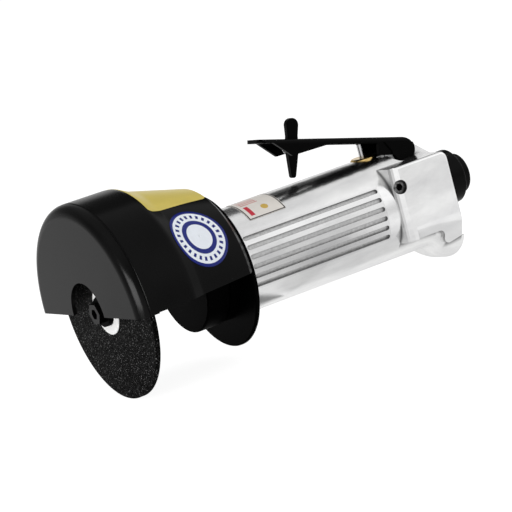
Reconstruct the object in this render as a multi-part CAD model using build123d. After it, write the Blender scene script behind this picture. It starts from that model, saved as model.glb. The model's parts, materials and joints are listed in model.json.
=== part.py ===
from build123d import *
import os
from math import cos, degrees, radians, sin, tan

# An in-line pneumatic cut-off tool: a thin abrasive wheel under a half-round hood, driven by a
# vane motor in a grooved aluminium barrel, with a lever throttle and a folding lock-off lever.
# Sizes are in millimetres. The origin is the centre of the air inlet's mouth. +X points out of
# the inlet, +Z towards the lever, and the spindle runs along X a little below the inlet.

# Fits and gaps
RUNNING_FIT = 0.05
SEAT_GAP = 0.02
SIDE_GAP = 0.4
SWIVEL_PLAY = 0.1

# Air inlet, a quarter-inch pipe thread
THREAD_R = 5.6
THREAD_DEPTH = 13.0
INLET_HEAD_R = 8.9
INLET_HEAD_LENGTH = 5.0
INLET_EDGE_R = 1.2
INLET_SPIGOT_R = 7.6
INLET_SPIGOT_DEPTH = 13.0
INLET_BORE_R = 4.2
COLLAR_R = 12.0
COLLAR_LENGTH = 10.0
COLLAR_EDGE_R = 0.6
SCREEN_THICKNESS = 0.8
SPINDLE_DROP = 3.6

# Rear block with its boss and lug
BOSS_R = 13.0
BOSS_LENGTH = 5.0
BLOCK_LENGTH = 30.0
BLOCK_OVERHANG = 1.2
BLOCK_TOP = 19.0
BLOCK_BOTTOM = -13.4
BLOCK_CORNER_R = 3.5
BLOCK_EDGE = 0.8
BLOCK_SHOULDER = 2.1
BLOCK_BEVEL_LENGTH = 1.9
BLOCK_BEVEL_DEPTH = 1.0
BLOCK_ROUND = 1.2
FLANK_INSET = 6.0
FLANK_HEIGHT = 3.9
FLANK_ANGLE = 22.8
FLANK_ROUND = 7.0
SCOOP_R = 4.0
LUG_CREST = 1.8

# Barrel
BARREL_LENGTH = 79.1
BARREL_FRONT_R = 22.3
BARREL_REAR_R = 22.8
BARREL_RISE = 0.9
BARREL_TAIL = 20.0
BARREL_WALL = 3.4
BARREL_EDGE_R = 0.8
GROOVE_COUNT = 6
GROOVE_TOP_ANGLE = 28.2
GROOVE_PITCH_ANGLE = 10.4
GROOVE_WIDTH = 2.0
GROOVE_DEPTH = 1.0
GROOVE_START = 5.3
GROOVE_LENGTH = 67.8

# Exhaust spout under the block
SPOUT_LENGTH = 20.4
SPOUT_LIP = 1.4
SPOUT_DROP = 1.1
SPOUT_ROOF = 1.0
SPOUT_HALF_WIDTH = 20.6
SPOUT_DEPTH = 15.0
SPOUT_WALL = 2.2
SPOUT_SIDE_WALL = 4.0
SPOUT_SECTIONS = (
    (0.00, 0.78, 0.30),
    (0.25, 0.85, 0.36),
    (0.45, 0.92, 0.49),
    (0.60, 0.96, 0.74),
    (0.75, 0.985, 0.90),
    (1.00, 1.00, 1.00),
)
NECK_LENGTH = 12.2
NECK_DIP = 6.8
NECK_BEND = 2.8
NECK_RISE = 1.3
EXHAUST_R = 2.4
EXHAUST_Y = 6.0
EXHAUST_DROP = 16.3
SILENCER_THICKNESS = 4.0

# Vane motor
SPIGOT_LENGTH = 8.0
END_PLATE_THICKNESS = 5.0
LINER_LENGTH = 42.0
LINER_WALL = 2.3
LINER_OFFSET = 1.7
ROTOR_TOP_GAP = 0.2
ROTOR_END_GAP = 0.3
VANE_COUNT = 5
VANE_THICKNESS = 2.4
VANE_HEIGHT = 6.9
PORT_R = 1.5
PORT_COUNT = 3
FRONT_BEARING_BORE_R = 5.0
FRONT_BEARING_R = 13.0
FRONT_BEARING_WIDTH = 8.0
REAR_BEARING_BORE_R = 4.0
REAR_BEARING_R = 11.0
REAR_BEARING_WIDTH = 7.0
BALL_COUNT = 6
BALL_SHARE = 0.27
RACE_SHARE = 0.6
JOURNAL_SHOULDER = 1.0

# Spindle and wheel
SPINDLE_R = 6.5
SPINDLE_REACH = 32.8
SPANNER_FLATS = 11.0
WHEEL_R = 37.5
WHEEL_THICKNESS = 2.2
ARBOR_R = 4.76
INNER_FLANGE_R = 9.5
INNER_FLANGE_THICKNESS = 3.5
FLANGE_RELIEF_R = 6.6
FLANGE_RELIEF_DEPTH = 0.35
PILOT_LENGTH = 1.3
LABEL_R = 10.2
LABEL_THICKNESS = 0.25
WASHER_R = 6.3
WASHER_THICKNESS = 2.25
SCREW_R = 3.0
SCREW_LENGTH = 18.0
SCREW_HEAD_FLATS = 8.0
SCREW_HEAD_HEIGHT = 3.0
SCREW_SOCKET_FLATS = 4.0
SCREW_SOCKET_DEPTH = 2.4

# Nose nut that clamps the guard
NOSE_R = 21.4
NOSE_LENGTH = 15.7
NOSE_EDGE_R = 0.8
NOSE_GROOVE_WIDTH = 1.5
NOSE_GROOVE_DEPTH = 1.3
NOSE_GROOVE_OFFSET = 4.2
SPANNER_HOLE_R = 1.6
SPANNER_HOLE_DEPTH = 5.0
SPANNER_HOLE_Y = 13.2

# Guard
GUARD_PLATE_R = 32.6
GUARD_PLATE_THICKNESS = 2.0
GUARD_PLATE_EDGE_R = 0.6
HOOD_OVERHANG = 8.0
HOOD_CLEARANCE = 6.5
HOOD_WALL = 1.8
HOOD_FRONT_R = 5.0
HOOD_DRUM_LENGTH = 24.5
HOOD_SHOULDER_LENGTH = 6.0
HOOD_SHOULDER_DROP = 3.0
HOOD_REAR_RISE = 3.6
HOOD_RIM_RISE = 1.0
HOOD_RIM_LENGTH = 2.4
HOOD_RIM_WALL = 2.2
HOOD_NOTCH_R = 14.0
HOOD_FRONT_EDGE_Z = 0.0
HOOD_REAR_EDGE_Z = 0.4
HOOD_STEP = 8.5
HOOD_CREASE = 4.7
HOOD_CREASE_R = 0.45

# Throttle lever, measured along and square to its top plate from its pivot
PIVOT_INSET = 9.7
PIVOT_RISE = 3.6
LEVER_SLOPE = 15.2
LEVER_TRAVEL = 5.8
LEVER_LENGTH = 70.6
LEVER_WIDTH = 14.6
LEVER_SHEET = 1.6
LEVER_BEND_R = 2.2
LEVER_TIP_R = 4.5
EAR_R = 5.4
EAR_PAD = 0.7
PIVOT_PIN_R = 2.0
FLANGE_DEPTH = 2.6
CHEEK_DEPTH = 7.7
CHEEK_LENGTH = 12.9
WING_DEPTH = 7.05
WING_INSET = 5.9
WING_LEAD = 4.0

# Lock-off lever, standing square to the throttle lever
LOCK_INSET = 18.95
LOCK_PIVOT_DROP = 3.9
LOCK_PIN_R = 1.2
LOCK_THICKNESS = 3.0
LOCK_TAB_HEIGHT = 8.95
LOCK_TAB_R = 2.9
LOCK_WAIST_R = 2.45
LOCK_HUB_R = 2.8
LOCK_LEG_LENGTH = 16.3
LOCK_TIP_R = 1.15
LOCK_EDGE_R = 0.5
LOCK_SLOT_FRONT = 16.5
LOCK_SLOT_REAR = 9.5

# Throttle valve under the lever
VALVE_INSET = 3.4
BUSH_R = 5.3
BUSH_RISE = 0.6
BUSH_LENGTH = 16.0
BUSH_EDGE = 0.5
BUSH_BORE_LENGTH = 7.0
BUSH_CAVITY_R = 3.0
STEM_R = 1.2
STEM_LEVER_GAP = 0.3
VALVE_HEAD_R = 4.2
VALVE_HEAD_HEIGHT = 2.4
SEAL_THICKNESS = 1.2
CHAMBER_DEPTH = 10.5
SPRING_R = 3.0
SPRING_WIRE_R = 0.4
SPRING_TURNS = 3
PASSAGE_R = 2.0
PASSAGE_Z = 13.0
SET_SCREW_R = 3.0
SET_SCREW_Z = 10.4
SET_SCREW_RECESS = 1.4
SET_SCREW_SOCKET_FLATS = 3.0

# Lock-off spring, a torsion coil beside the lever's hub
COIL_R = 1.95
COIL_WIRE_R = 0.3
COIL_TURNS = 2
COIL_PITCH = 1.1
SPRING_SAMPLES = 24

# Stations along X
SPINDLE_Z = -SPINDLE_DROP
collar_rear = -INLET_HEAD_LENGTH
boss_rear = collar_rear - COLLAR_LENGTH
block_rear = boss_rear - BOSS_LENGTH
block_front = block_rear - BLOCK_LENGTH
barrel_rear = block_front + BARREL_TAIL
barrel_front = block_front - BARREL_LENGTH
plate_rear = barrel_front - SWIVEL_PLAY
plate_front = plate_rear - GUARD_PLATE_THICKNESS
nose_rear = plate_front - SWIVEL_PLAY
nose_front = nose_rear - NOSE_LENGTH
spigot_rear = barrel_front + SPIGOT_LENGTH
liner_front = spigot_rear + END_PLATE_THICKNESS
liner_rear = liner_front + LINER_LENGTH
carrier_front = liner_rear + END_PLATE_THICKNESS
bore_rear = carrier_front + REAR_BEARING_WIDTH
front_bearing_front = nose_rear
front_bearing_rear = front_bearing_front + FRONT_BEARING_WIDTH
wheel_rear = nose_front - SPINDLE_REACH
wheel_front = wheel_rear - WHEEL_THICKNESS
flange_rear = wheel_rear + INNER_FLANGE_THICKNESS
label_front = wheel_front - LABEL_THICKNESS
washer_front = label_front - WASHER_THICKNESS
hood_front = wheel_front - HOOD_OVERHANG
pivot_x = block_rear - PIVOT_INSET
valve_x = block_front + VALVE_INSET
spout_rear = block_rear + SPOUT_LIP
spout_front = spout_rear - SPOUT_LENGTH
lock_station = LEVER_LENGTH - LOCK_INSET

# Radii, widths and heights above the spindle axis
block_width = 2 * (BARREL_REAR_R + BLOCK_OVERHANG)
motor_bore_r = BARREL_FRONT_R - BARREL_RISE - BARREL_WALL
liner_bore_r = motor_bore_r - LINER_WALL - LINER_OFFSET
rotor_r = liner_bore_r - LINER_OFFSET - ROTOR_TOP_GAP
hood_r = WHEEL_R + HOOD_CLEARANCE + HOOD_WALL
hood_shoulder_r = hood_r - HOOD_SHOULDER_DROP
hood_rear_r = GUARD_PLATE_R + HOOD_REAR_RISE
hood_rim_r = GUARD_PLATE_R + HOOD_RIM_RISE
spout_axis_z = BLOCK_BOTTOM - SPOUT_DROP
pivot_z = BLOCK_TOP + PIVOT_RISE
lever_inner = LEVER_WIDTH - 2 * LEVER_SHEET
lug_width = lever_inner - 2 * SIDE_GAP


def lever_plane(slope):
    forward = (-cos(radians(slope)), 0, sin(radians(slope)))
    return Plane(origin=(pivot_x, 0, SPINDLE_Z + pivot_z), x_dir=forward, z_dir=(0, 1, 0))


# Planes: the side view, heights from the spindle axis, and the lever at rest and pressed
SIDE = Plane(origin=(0, 0, SPINDLE_Z), x_dir=(1, 0, 0), z_dir=(0, -1, 0))
LEVER = lever_plane(LEVER_SLOPE)
LEVER_PRESSED = lever_plane(LEVER_SLOPE - LEVER_TRAVEL)
SPINDLE_AXIS = Axis((0, 0, SPINDLE_Z), (1, 0, 0))
BARREL_AXIS = Axis((0, 0, SPINDLE_Z + BARREL_RISE), (1, 0, 0))
INLET_AXIS = Axis((0, 0, 0), (1, 0, 0))
FROM_START = (Align.CENTER, Align.CENTER, Align.MIN)


def barrel_r(x):
    share = (x - barrel_front) / (barrel_rear - barrel_front)
    return BARREL_FRONT_R + (BARREL_REAR_R - BARREL_FRONT_R) * share


bush_top = BARREL_RISE + barrel_r(valve_x) + BUSH_RISE
seat_z = bush_top - BUSH_LENGTH
chamber_z = seat_z - VALVE_HEAD_HEIGHT - CHAMBER_DEPTH


def rod_x(radius, start, end, y=0.0, z=SPINDLE_Z):
    return Pos(start, y, z) * Rot(0, 90, 0) * Cylinder(radius, end - start, align=FROM_START)


def rod_y(radius, width, x, z):
    return Pos(x, 0, z) * Rot(90, 0, 0) * Cylinder(radius, width)


def rod_z(radius, bottom, top, x, y=0.0):
    return Pos(x, y, bottom) * Cylinder(radius, top - bottom, align=FROM_START)


def ring_x(outer, inner, start, end, z=SPINDLE_Z):
    return rod_x(outer, start, end, z=z) - rod_x(inner, start, end, z=z)


def turns_about_spindle(count):
    return [Pos(0, 0, SPINDLE_Z) * Rot(360 * i / count, 0, 0) for i in range(count)]


def outline(points):
    return make_face(Polyline(*points, close=True))


def turned(points, axis=SPINDLE_AXIS):
    """Revolve (x, radius) points about an axis along X."""
    base = Plane(origin=axis.position, x_dir=(1, 0, 0), z_dir=(0, -1, 0))
    return revolve(base * outline(points), axis)


def slab(face, width, plane=SIDE):
    """Extrude a side-view face evenly to both sides of the tool's middle."""
    return extrude(plane * face, amount=width / 2, both=True)


def hull(*circles):
    """One outline drawn tight round (x, y, radius) circles."""
    edges = [edge for x, y, r in circles for edge in (Pos(x, y) * Circle(r)).edges()]
    return make_hull(edges)


def block_at(size, centre):
    return Pos(*centre) * Box(*size)


def coil(name, radius, pitch, turns, wire_r):
    """A helical spring about local Z from z = 0, swept in quarter turns."""
    def point(quarter):
        angle = radians(90 * quarter)
        return (radius * cos(angle), radius * sin(angle), pitch * quarter / 4)

    arcs = [ThreePointArc(point(q), point(q + 0.5), point(q + 1)) for q in range(4 * turns)]
    path = Wire(arcs)
    places = range(SPRING_SAMPLES * turns + 1)
    points = [Vector(*point(4 * i / SPRING_SAMPLES)) for i in places]
    apart = [(points[i] - points[j]).length for i in places for j in places[i + SPRING_SAMPLES // 2:]]
    print(name, "least gap to itself", round(min(apart) - 2 * wire_r, 2))
    section = Plane(origin=path @ 0, z_dir=path % 0) * Circle(wire_r)
    return sweep(section, path)


# Housing: barrel, block, lug, boss and spout are one casting

def barrel():
    shape = turned([
        (barrel_front, 0),
        (barrel_front, BARREL_FRONT_R),
        (barrel_rear, BARREL_REAR_R),
        (barrel_rear, 0),
    ], BARREL_AXIS)
    front_rim = shape.edges().filter_by(GeomType.CIRCLE).sort_by(Axis.X)[0]
    shape = fillet(front_rim, BARREL_EDGE_R)
    scoop_front = pivot_x - EAR_R - SCOOP_R
    scoop = slab(
        outline([
            (scoop_front, BLOCK_TOP),
            (0, BLOCK_TOP),
            (0, BLOCK_TOP + BARREL_REAR_R),
            (scoop_front, BLOCK_TOP + BARREL_REAR_R),
        ]),
        2 * BARREL_REAR_R,
    )
    low_front = scoop.edges().filter_by(Axis.Y).sort_by(lambda e: e.center().X + e.center().Z)[0]
    return shape - fillet(low_front, SCOOP_R)


def groove(angle):
    middle = barrel_front + GROOVE_START + GROOVE_LENGTH / 2
    floor = barrel_r(middle) - GROOVE_DEPTH
    slot = extrude(SlotOverall(GROOVE_LENGTH, GROOVE_WIDTH), amount=3 * GROOVE_DEPTH)
    draft = degrees((BARREL_REAR_R - BARREL_FRONT_R) / (barrel_rear - barrel_front))
    upright = Pos(middle, 0, floor) * Rot(0, -draft, 0) * slot
    return Pos(BARREL_AXIS.position) * Rot(angle, 0, 0) * upright


def grooves():
    angles = [GROOVE_TOP_ANGLE - i * GROOVE_PITCH_ANGLE for i in range(GROOVE_COUNT)]
    return [groove(side * (90 - angle)) for angle in angles for side in (-1, 1)]


def neck_face(rear):
    """Side view of the neck over the spout's lip; its lower edge dips in an S."""
    front = block_rear - NECK_LENGTH
    low = BLOCK_BOTTOM - NECK_DIP
    roof = BLOCK_BOTTOM + SPOUT_DEPTH
    middle = (front + NECK_BEND, BLOCK_BOTTOM - NECK_DIP / 2)
    with BuildLine() as edge:
        bend = TangentArc((front, BLOCK_BOTTOM), middle, tangent=(1, 0))
        TangentArc(middle, (front + 2 * NECK_BEND, low), tangent=bend % 1)
        Polyline((front + 2 * NECK_BEND, low), (rear, low + NECK_RISE), (rear, roof), (front, roof))
        Line((front, roof), (front, BLOCK_BOTTOM))
    return make_face(edge.line)


def flank(side):
    """What the block's lower side loses to its inclined flank, on one side of the tool."""
    half = side * block_width / 2
    top = BLOCK_BOTTOM + FLANK_HEIGHT
    lean = radians(FLANK_ANGLE)
    drop = FLANK_HEIGHT + NECK_DIP + SPOUT_DEPTH
    reach = FLANK_ROUND * tan(lean / 2)
    bend_top = (half, top + reach)
    bend_low = (half - side * reach * sin(lean), top - reach * cos(lean))
    foot = (half - side * drop * tan(lean), top - drop)
    with BuildLine() as edge:
        TangentArc(bend_top, bend_low, tangent=(0, -1))
        Polyline(bend_low, foot, (2 * half, top - drop), (2 * half, top + reach), bend_top)
    base = Plane(origin=(block_front + FLANK_INSET, 0, SPINDLE_Z), x_dir=(0, 1, 0), z_dir=(1, 0, 0))
    return extrude(base * make_face(edge.line), amount=BLOCK_LENGTH)


def rear_block():
    face = outline([
        (block_front, BLOCK_BOTTOM),
        (block_rear, BLOCK_BOTTOM),
        (block_rear, BLOCK_TOP),
        (block_front, BLOCK_TOP),
    ])
    top_rear = face.vertices().sort_by(lambda v: v.X + v.Y)[-1]
    shape = slab(fillet(top_rear, BLOCK_CORNER_R) + neck_face(block_rear), block_width)
    half = block_width / 2
    shoulder_rear = block_front + BLOCK_SHOULDER
    bevel_rear = shoulder_rear + BLOCK_BEVEL_LENGTH
    near = [
        (block_front, BLOCK_EDGE + BLOCK_BEVEL_DEPTH - half),
        (block_front + BLOCK_EDGE, BLOCK_BEVEL_DEPTH - half),
        (shoulder_rear, BLOCK_BEVEL_DEPTH - half),
        (bevel_rear, -half),
        (block_rear, -half),
    ]
    far = [(x, -y) for x, y in reversed(near)]
    shape &= extrude(outline(near + far), amount=block_width, both=True)
    top_edges = shape.edges().filter_by(Axis.X).group_by(Axis.Z)[-1]
    outer_edges = top_edges.filter_by(lambda e: e.center().X > bevel_rear)
    shape = fillet(outer_edges, BLOCK_ROUND)
    for side in (-1, 1):
        shape -= flank(side)
    return shape


def lug():
    clear = EAR_R - LEVER_SHEET - SIDE_GAP
    crest_x = pivot_x + EAR_R
    foot = (boss_rear, SPINDLE_DROP + BOSS_R)
    root = SPINDLE_DROP + INLET_SPIGOT_R
    fin = outline([
        (pivot_x - clear, root),
        (pivot_x - clear, pivot_z),
        (crest_x - LUG_CREST, pivot_z),
        (crest_x, pivot_z + LUG_CREST),
        foot,
        (boss_rear, root),
    ])
    return slab(fin + Pos(pivot_x, pivot_z) * Circle(clear), lug_width)


def spout_form(side_inset, low_inset, start, end):
    """A flared half-bell, lofted through ellipses centred just under the block."""
    sections = []
    for along, wide, deep in SPOUT_SECTIONS:
        x = start + along * (end - start)
        base = Plane(origin=(x, 0, SPINDLE_Z + spout_axis_z), x_dir=(0, 1, 0), z_dir=(1, 0, 0))
        sections.append(base * Ellipse(wide * SPOUT_HALF_WIDTH - side_inset, deep * SPOUT_DEPTH - low_inset))
    return loft(sections)


def spout():
    lip = spout_form(0.0, 0.0, spout_front, spout_rear)
    return lip - slab(neck_face(spout_rear + SPOUT_LIP), 3 * SPOUT_HALF_WIDTH)


def spout_hollow(gap):
    """The spout's inside, open at the rear and roofed under the block."""
    start = spout_front + 2 * SPOUT_WALL
    form = spout_form(SPOUT_SIDE_WALL + gap, SPOUT_WALL + gap, start, spout_rear + SPOUT_WALL)
    roof = SPINDLE_Z + spout_axis_z - SPOUT_ROOF - gap
    above = block_at((2 * SPOUT_LENGTH, block_width, 2 * SPOUT_DEPTH), (spout_rear, 0, roof + SPOUT_DEPTH))
    return form - above


def housing():
    body = barrel() + rear_block() + spout()
    body += rod_x(BOSS_R, block_rear - BOSS_LENGTH, boss_rear, z=0)
    body += lug()
    body -= spout_hollow(0.0)
    pocket_width = LEVER_WIDTH + 2 * EAR_PAD + 2 * SIDE_GAP
    pocket = rod_y(EAR_R + SIDE_GAP, pocket_width, pivot_x, SPINDLE_Z + pivot_z)
    pocket -= rod_y(EAR_R + 2 * SIDE_GAP, lug_width, pivot_x, SPINDLE_Z + pivot_z)
    body -= pocket
    cheek = outline([
        (0, EAR_R),
        (CHEEK_LENGTH + SIDE_GAP, EAR_R),
        (CHEEK_LENGTH + SIDE_GAP, EAR_R - CHEEK_DEPTH - SIDE_GAP),
        (0, EAR_R - CHEEK_DEPTH - SIDE_GAP),
    ])
    relief = slab(cheek, LEVER_WIDTH + 2 * SIDE_GAP, LEVER_PRESSED)
    body -= relief - slab(cheek, lug_width, LEVER_PRESSED)
    body -= rod_x(motor_bore_r, barrel_front, bore_rear)
    for side in (-1, 1):
        exhaust_rear = spout_front + 3 * SPOUT_WALL
        body -= rod_x(EXHAUST_R, bore_rear, exhaust_rear, side * EXHAUST_Y, SPINDLE_Z - EXHAUST_DROP)
    body -= rod_z(BUSH_R + SEAT_GAP, SPINDLE_Z + chamber_z, SPINDLE_Z + BARREL_REAR_R + EAR_R, valve_x)
    body -= rod_x(PASSAGE_R, bore_rear, valve_x, z=SPINDLE_Z + PASSAGE_Z)
    body -= rod_x(INLET_BORE_R, valve_x, boss_rear, z=0)
    seat_depth = INLET_SPIGOT_DEPTH + SCREEN_THICKNESS
    body -= rod_x(INLET_SPIGOT_R + SEAT_GAP, boss_rear - seat_depth, boss_rear, z=0)
    body -= rod_y(PIVOT_PIN_R, lug_width, pivot_x, SPINDLE_Z + pivot_z)
    set_screw_hole = Pos(valve_x, -block_width / 4, SPINDLE_Z + SET_SCREW_Z) * Rot(90, 0, 0)
    body -= set_screw_hole * Cylinder(SET_SCREW_R + SEAT_GAP, block_width / 2)
    for cut in grooves():
        body -= cut
    return body


# Vane motor

def bearing(bore, outside, width, start):
    """Outer ring, inner ring and balls of a ball bearing."""
    pitch_r = (bore + outside) / 2
    ball_r = BALL_SHARE * (outside - bore)
    wall = RACE_SHARE * ball_r
    track = ball_r + RUNNING_FIT
    end = start + width
    middle = start + width / 2
    torus = Pos(middle, 0, SPINDLE_Z) * Rot(0, 90, 0) * Torus(pitch_r, track)
    outer = ring_x(outside - SEAT_GAP, pitch_r + wall, start, end) - torus
    inner = ring_x(pitch_r - wall, bore + SEAT_GAP, start, end) - torus
    ball = Pos(middle, 0, pitch_r) * Sphere(ball_r)
    balls = [turn * ball for turn in turns_about_spindle(BALL_COUNT)]
    return outer, inner, Compound(children=balls)


def rotor():
    front = liner_front + ROTOR_END_GAP
    rear = liner_rear - ROTOR_END_GAP
    journal = FRONT_BEARING_BORE_R
    shape = turned([
        (wheel_rear - PILOT_LENGTH, 0),
        (wheel_rear - PILOT_LENGTH, ARBOR_R - RUNNING_FIT),
        (flange_rear, ARBOR_R - RUNNING_FIT),
        (flange_rear, SPINDLE_R),
        (front_bearing_front, SPINDLE_R),
        (front_bearing_front, journal),
        (front_bearing_rear, journal),
        (front_bearing_rear, journal + JOURNAL_SHOULDER),
        (front, journal + JOURNAL_SHOULDER),
        (front, rotor_r),
        (rear, rotor_r),
        (rear, REAR_BEARING_BORE_R),
        (bore_rear - ROTOR_END_GAP, REAR_BEARING_BORE_R),
        (bore_rear - ROTOR_END_GAP, 0),
    ])
    shape -= rod_x(SCREW_R + SEAT_GAP, wheel_front, washer_front + SCREW_LENGTH + SCREW_R)
    flats_middle = flange_rear + SPANNER_FLATS / 2 + JOURNAL_SHOULDER
    for side in (-1, 1):
        offset = side * (SPANNER_FLATS / 2 + SPINDLE_R / 2)
        shape -= block_at((SPANNER_FLATS, SPINDLE_R, 4 * SPINDLE_R), (flats_middle, offset, SPINDLE_Z))
    slot = vane_block(VANE_THICKNESS + 4 * RUNNING_FIT, VANE_HEIGHT + 2 * ROTOR_END_GAP, 0.0)
    for turn in turns_about_spindle(VANE_COUNT):
        shape -= turn * slot
    return shape


def vane_block(thickness, height, gap):
    length = liner_rear - liner_front - 2 * ROTOR_END_GAP
    middle = (liner_front + liner_rear) / 2
    return block_at((length, thickness, height), (middle, 0, rotor_r - gap - height / 2))


def vanes():
    vane = vane_block(VANE_THICKNESS, VANE_HEIGHT, RUNNING_FIT)
    return Compound(children=[turn * vane for turn in turns_about_spindle(VANE_COUNT)])


def liner():
    shape = rod_x(motor_bore_r - SEAT_GAP, liner_front, liner_rear)
    shape -= rod_x(liner_bore_r, liner_front, liner_rear, z=SPINDLE_Z - LINER_OFFSET)
    for i in range(PORT_COUNT):
        x = liner_front + LINER_LENGTH * (i + 1) / (PORT_COUNT + 1)
        shape -= rod_z(PORT_R, SPINDLE_Z - motor_bore_r, SPINDLE_Z - rotor_r, x)
    return shape


def front_end_plate():
    shape = rod_x(motor_bore_r - SEAT_GAP, spigot_rear, liner_front)
    shape += rod_x(FRONT_BEARING_R - 2 * SEAT_GAP, front_bearing_rear, spigot_rear)
    return shape - rod_x(FRONT_BEARING_BORE_R + JOURNAL_SHOULDER + SIDE_GAP, front_bearing_rear, liner_front)


def rear_end_plate():
    shape = rod_x(motor_bore_r - SEAT_GAP, liner_rear, bore_rear)
    shape -= rod_x(REAR_BEARING_BORE_R + SIDE_GAP, liner_rear, carrier_front)
    shape -= rod_x(REAR_BEARING_R, carrier_front, bore_rear)
    shape -= rod_x(PORT_R, liner_rear, bore_rear, z=SPINDLE_Z + PASSAGE_Z)
    port_z = SPINDLE_Z - EXHAUST_DROP + EXHAUST_R
    for side in (-1, 1):
        shape -= rod_x(PORT_R, liner_rear, bore_rear, side * EXHAUST_Y, port_z)
    return shape


# Nose nut and guard

def nose_nut():
    groove_rear = nose_rear - NOSE_GROOVE_OFFSET
    groove_front = groove_rear - NOSE_GROOVE_WIDTH
    face = outline([
        (nose_front, SPINDLE_R + SIDE_GAP),
        (nose_front, NOSE_R),
        (groove_front, NOSE_R),
        (groove_front, NOSE_R - NOSE_GROOVE_DEPTH),
        (groove_rear, NOSE_R - NOSE_GROOVE_DEPTH),
        (groove_rear, NOSE_R - NOSE_GROOVE_DEPTH / 4),
        (nose_rear, NOSE_R - NOSE_GROOVE_DEPTH / 4),
        (nose_rear, motor_bore_r - SEAT_GAP),
        (spigot_rear, motor_bore_r - SEAT_GAP),
        (spigot_rear, FRONT_BEARING_R),
        (front_bearing_front, FRONT_BEARING_R),
        (front_bearing_front, SPINDLE_R + SIDE_GAP),
    ])
    front_corner = face.vertices().sort_by(lambda v: v.X - v.Y)[0]
    shape = revolve(SIDE * fillet(front_corner, NOSE_EDGE_R), SPINDLE_AXIS)
    for side in (-1, 1):
        shape -= rod_x(SPANNER_HOLE_R, nose_front, nose_front + SPANNER_HOLE_DEPTH, y=side * SPANNER_HOLE_Y)
    return shape


def guard_plate():
    shape = ring_x(GUARD_PLATE_R, motor_bore_r + SWIVEL_PLAY, plate_front, plate_rear)
    rims = shape.edges().filter_by(GeomType.CIRCLE).sort_by(SortBy.RADIUS)[-2:]
    return fillet(rims, GUARD_PLATE_EDGE_R)


def guard_hood():
    drum_rear = hood_front + HOOD_DRUM_LENGTH
    shoulder_rear = drum_rear + HOOD_SHOULDER_LENGTH
    rim_rear = plate_front - SEAT_GAP
    taper_rear = plate_front - HOOD_RIM_LENGTH
    outer = [
        (hood_front, 0),
        (hood_front, hood_r),
        (drum_rear, hood_r),
        (shoulder_rear, hood_shoulder_r),
        (taper_rear, hood_rear_r),
        (rim_rear, hood_rim_r),
    ]
    inner = [
        (rim_rear, hood_rim_r - HOOD_RIM_WALL),
        (taper_rear, hood_rear_r - HOOD_WALL),
        (shoulder_rear, hood_shoulder_r - HOOD_WALL),
        (drum_rear, hood_r - HOOD_WALL),
        (hood_front + HOOD_WALL, hood_r - HOOD_WALL),
        (hood_front + HOOD_WALL, 0),
    ]
    face = outline(outer + inner)

    def corner(x, r):
        return face.vertices().sort_by(lambda v: abs(v.X - x) + abs(v.Y - r))[0]

    face = fillet(corner(hood_front, hood_r), HOOD_FRONT_R)
    face = fillet(corner(hood_front + HOOD_WALL, hood_r - HOOD_WALL), HOOD_FRONT_R - HOOD_WALL)
    face = fillet(corner(drum_rear, hood_r), HOOD_SHOULDER_LENGTH)
    face = fillet(corner(shoulder_rear, hood_shoulder_r), HOOD_SHOULDER_LENGTH)
    shape = revolve(SIDE * face, SPINDLE_AXIS)
    shape -= Pos(hood_front + HOOD_CREASE, 0, SPINDLE_Z) * Rot(0, 90, 0) * Torus(hood_r, HOOD_CREASE_R)
    shape -= rod_x(HOOD_NOTCH_R, hood_front - HOOD_WALL, hood_front + 2 * HOOD_WALL)
    step_x = hood_front + HOOD_STEP
    reach = 2 * hood_r
    keep = slab(
        outline([
            (hood_front - HOOD_WALL, HOOD_FRONT_EDGE_Z),
            (step_x, HOOD_FRONT_EDGE_Z),
            (step_x, HOOD_REAR_EDGE_Z),
            (plate_rear + HOOD_WALL, HOOD_REAR_EDGE_Z),
            (plate_rear + HOOD_WALL, reach),
            (hood_front - HOOD_WALL, reach),
        ]),
        2 * reach,
    )
    return shape & keep


# Wheel and its fastening

def hexagon(flats):
    return RegularPolygon(flats / 2, 6, major_radius=False)


def across_x(face, start, depth):
    base = Plane(origin=(start, 0, SPINDLE_Z), x_dir=(0, 1, 0), z_dir=(1, 0, 0))
    return extrude(base * face, amount=depth)


def wheel_screw():
    head_front = washer_front - SCREW_HEAD_HEIGHT
    shape = across_x(hexagon(SCREW_HEAD_FLATS), head_front, SCREW_HEAD_HEIGHT)
    shape += rod_x(SCREW_R, washer_front, washer_front + SCREW_LENGTH)
    return shape - across_x(hexagon(SCREW_SOCKET_FLATS), head_front, SCREW_SOCKET_DEPTH)


def inner_flange():
    shape = rod_x(INNER_FLANGE_R, wheel_rear, flange_rear)
    shape -= rod_x(ARBOR_R, wheel_rear, flange_rear)
    return shape - ring_x(FLANGE_RELIEF_R, ARBOR_R, wheel_rear, wheel_rear + FLANGE_RELIEF_DEPTH)


# Throttle lever and lock-off lever

plate_top = EAR_R
plate_under = plate_top - LEVER_SHEET
flange_low = plate_top - FLANGE_DEPTH
cheek_low = plate_top - CHEEK_DEPTH
wing_low = plate_top - WING_DEPTH
lock_pivot = plate_top - LOCK_PIVOT_DROP


def on_lever(u, n):
    """World point of a place given along and square to the lever's plate."""
    return LEVER.from_local_coords((u, n, 0))


def lever_outline():
    body = outline([
        (0, plate_top),
        (LEVER_LENGTH, plate_top),
        (LEVER_LENGTH, plate_under),
        (LEVER_LENGTH - WING_INSET, plate_under),
        (lock_station + WING_LEAD, wing_low),
        (lock_station - 2 * WING_DEPTH, flange_low),
        (CHEEK_LENGTH, flange_low),
        (CHEEK_LENGTH, cheek_low),
        (0, cheek_low),
    ])
    return body + Circle(EAR_R)


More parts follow.
